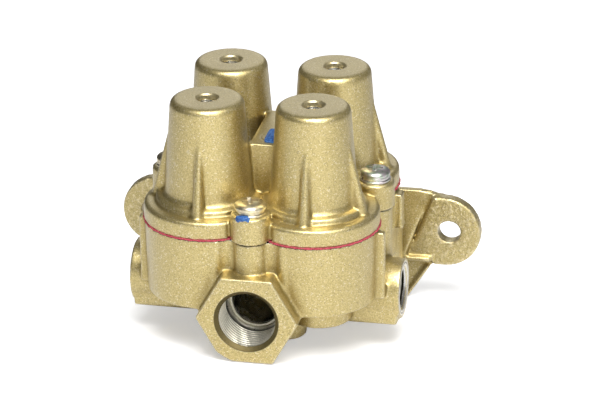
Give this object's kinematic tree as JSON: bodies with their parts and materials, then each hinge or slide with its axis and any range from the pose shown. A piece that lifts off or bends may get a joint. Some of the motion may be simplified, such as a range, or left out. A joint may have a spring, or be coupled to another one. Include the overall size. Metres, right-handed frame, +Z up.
{
  "type": "multi-circuit air brake protection valve",
  "caption": "Cast valve block with spring towers over diaphragm pistons, a hexagonal supply port, threaded circuit ports and mounting ears.",
  "frame": {"origin": "midway between the two ear holes, on the mounting face at the back of the ears", "axes": "+X to the right along the line of the ear holes, +Y out of the mounting face into the wall or bracket the valve is bolted to, +Z up along the spring towers; the supply port faces -Y"},
  "size_m": [0.1364, 0.0969, 0.1021],
  "materials": {
    "cast_paint": "cast, sprayed with satin metallic champagne gold paint",
    "red_gasket": "matt",
    "seat_brass": "machined",
    "zinc_plate": "zinc plated, bright",
    "dark_steel": "oiled",
    "bright_steel": "bright zinc",
    "spring_steel": "phosphated",
    "bare_aluminium": "turned",
    "black_rubber": "matt",
    "valve_plastic": "moulded"
  },
  "bodies": {
    "housing": {"lower_body": "cast_paint", "cover": "cast_paint", "gasket": "red_gasket", "valve_seats": "seat_brass", "cover_screws": "zinc_plate", "flat_washers": "zinc_plate", "lock_washers": "zinc_plate", "centre_screw": "dark_steel", "bottom_plugs": "zinc_plate", "plug_seals": "black_rubber", "main_spring_front_left": "spring_steel", "main_spring_front_right": "spring_steel", "main_spring_rear_left": "spring_steel", "main_spring_rear_right": "spring_steel", "diaphragm_front_left": "black_rubber", "diaphragm_front_right": "black_rubber", "diaphragm_rear_left": "black_rubber", "diaphragm_rear_right": "black_rubber", "nonreturn_spring_front_right": "spring_steel", "nonreturn_spring_rear_left": "spring_steel"},
    "piston_front_left": {"piston_front_left": "bare_aluminium", "valve_holder_front_left": "bare_aluminium", "valve_pad_front_left": "black_rubber"},
    "spring_plate_front_left": {"spring_plate_front_left": "bright_steel"},
    "adjusting_screw_front_left": {"adjusting_screw_front_left": "bright_steel"},
    "piston_front_right": {"piston_front_right": "bare_aluminium", "valve_holder_front_right": "bare_aluminium", "valve_pad_front_right": "black_rubber"},
    "spring_plate_front_right": {"spring_plate_front_right": "bright_steel"},
    "adjusting_screw_front_right": {"adjusting_screw_front_right": "bright_steel"},
    "piston_rear_left": {"piston_rear_left": "bare_aluminium", "valve_holder_rear_left": "bare_aluminium", "valve_pad_rear_left": "black_rubber"},
    "spring_plate_rear_left": {"spring_plate_rear_left": "bright_steel"},
    "adjusting_screw_rear_left": {"adjusting_screw_rear_left": "bright_steel"},
    "piston_rear_right": {"piston_rear_right": "bare_aluminium", "valve_holder_rear_right": "bare_aluminium", "valve_pad_rear_right": "black_rubber"},
    "spring_plate_rear_right": {"spring_plate_rear_right": "bright_steel"},
    "adjusting_screw_rear_right": {"adjusting_screw_rear_right": "bright_steel"},
    "nonreturn_valve_front_right": {"nonreturn_valve_front_right": "valve_plastic"},
    "nonreturn_valve_rear_left": {"nonreturn_valve_rear_left": "valve_plastic"}
  },
  "joints": [
    {"name": "lift_front_left", "type": "slide", "parent": "housing", "child": "piston_front_left", "axis": [0, 0, 1], "range_m": [0, 0.002], "deforming": ["main_spring_front_left", "diaphragm_front_left"]},
    {"name": "preload_front_left", "type": "slide", "parent": "housing", "child": "spring_plate_front_left", "axis": [0, 0, 1], "range_m": [-0.001, 0.001], "deforming": ["main_spring_front_left"]},
    {"name": "turn_front_left", "type": "hinge", "parent": "spring_plate_front_left", "child": "adjusting_screw_front_left", "pos_m": [-0.019, -0.069, 0.0704], "axis": [0, 0, 1], "range_deg": [-360, 360]},
    {"name": "lift_front_right", "type": "slide", "parent": "housing", "child": "piston_front_right", "axis": [0, 0, 1], "range_m": [0, 0.002], "deforming": ["main_spring_front_right", "diaphragm_front_right"]},
    {"name": "preload_front_right", "type": "slide", "parent": "housing", "child": "spring_plate_front_right", "axis": [0, 0, 1], "range_m": [-0.001, 0.001], "deforming": ["main_spring_front_right"]},
    {"name": "turn_front_right", "type": "hinge", "parent": "spring_plate_front_right", "child": "adjusting_screw_front_right", "pos_m": [0.019, -0.069, 0.0704], "axis": [0, 0, 1], "range_deg": [-360, 360]},
    {"name": "lift_rear_left", "type": "slide", "parent": "housing", "child": "piston_rear_left", "axis": [0, 0, 1], "range_m": [0, 0.002], "deforming": ["main_spring_rear_left", "diaphragm_rear_left"]},
    {"name": "preload_rear_left", "type": "slide", "parent": "housing", "child": "spring_plate_rear_left", "axis": [0, 0, 1], "range_m": [-0.001, 0.001], "deforming": ["main_spring_rear_left"]},
    {"name": "turn_rear_left", "type": "hinge", "parent": "spring_plate_rear_left", "child": "adjusting_screw_rear_left", "pos_m": [-0.019, -0.031, 0.0704], "axis": [0, 0, 1], "range_deg": [-360, 360]},
    {"name": "lift_rear_right", "type": "slide", "parent": "housing", "child": "piston_rear_right", "axis": [0, 0, 1], "range_m": [0, 0.002], "deforming": ["main_spring_rear_right", "diaphragm_rear_right"]},
    {"name": "preload_rear_right", "type": "slide", "parent": "housing", "child": "spring_plate_rear_right", "axis": [0, 0, 1], "range_m": [-0.001, 0.001], "deforming": ["main_spring_rear_right"]},
    {"name": "turn_rear_right", "type": "hinge", "parent": "spring_plate_rear_right", "child": "adjusting_screw_rear_right", "pos_m": [0.019, -0.031, 0.0704], "axis": [0, 0, 1], "range_deg": [-360, 360]},
    {"name": "open_front_right", "type": "slide", "parent": "housing", "child": "nonreturn_valve_front_right", "axis": [0, 0, 1], "range_m": [0, 0.002], "deforming": ["nonreturn_spring_front_right"]},
    {"name": "open_rear_left", "type": "slide", "parent": "housing", "child": "nonreturn_valve_rear_left", "axis": [0, 0, 1], "range_m": [0, 0.002], "deforming": ["nonreturn_spring_rear_left"]}
  ],
  "couplings": [
    {"joint": "turn_front_left", "follows": "preload_front_left", "rad_per_m": 6283.2},
    {"joint": "turn_front_right", "follows": "preload_front_right", "rad_per_m": 6283.2},
    {"joint": "turn_rear_left", "follows": "preload_rear_left", "rad_per_m": 6283.2},
    {"joint": "turn_rear_right", "follows": "preload_rear_right", "rad_per_m": 6283.2}
  ]
}
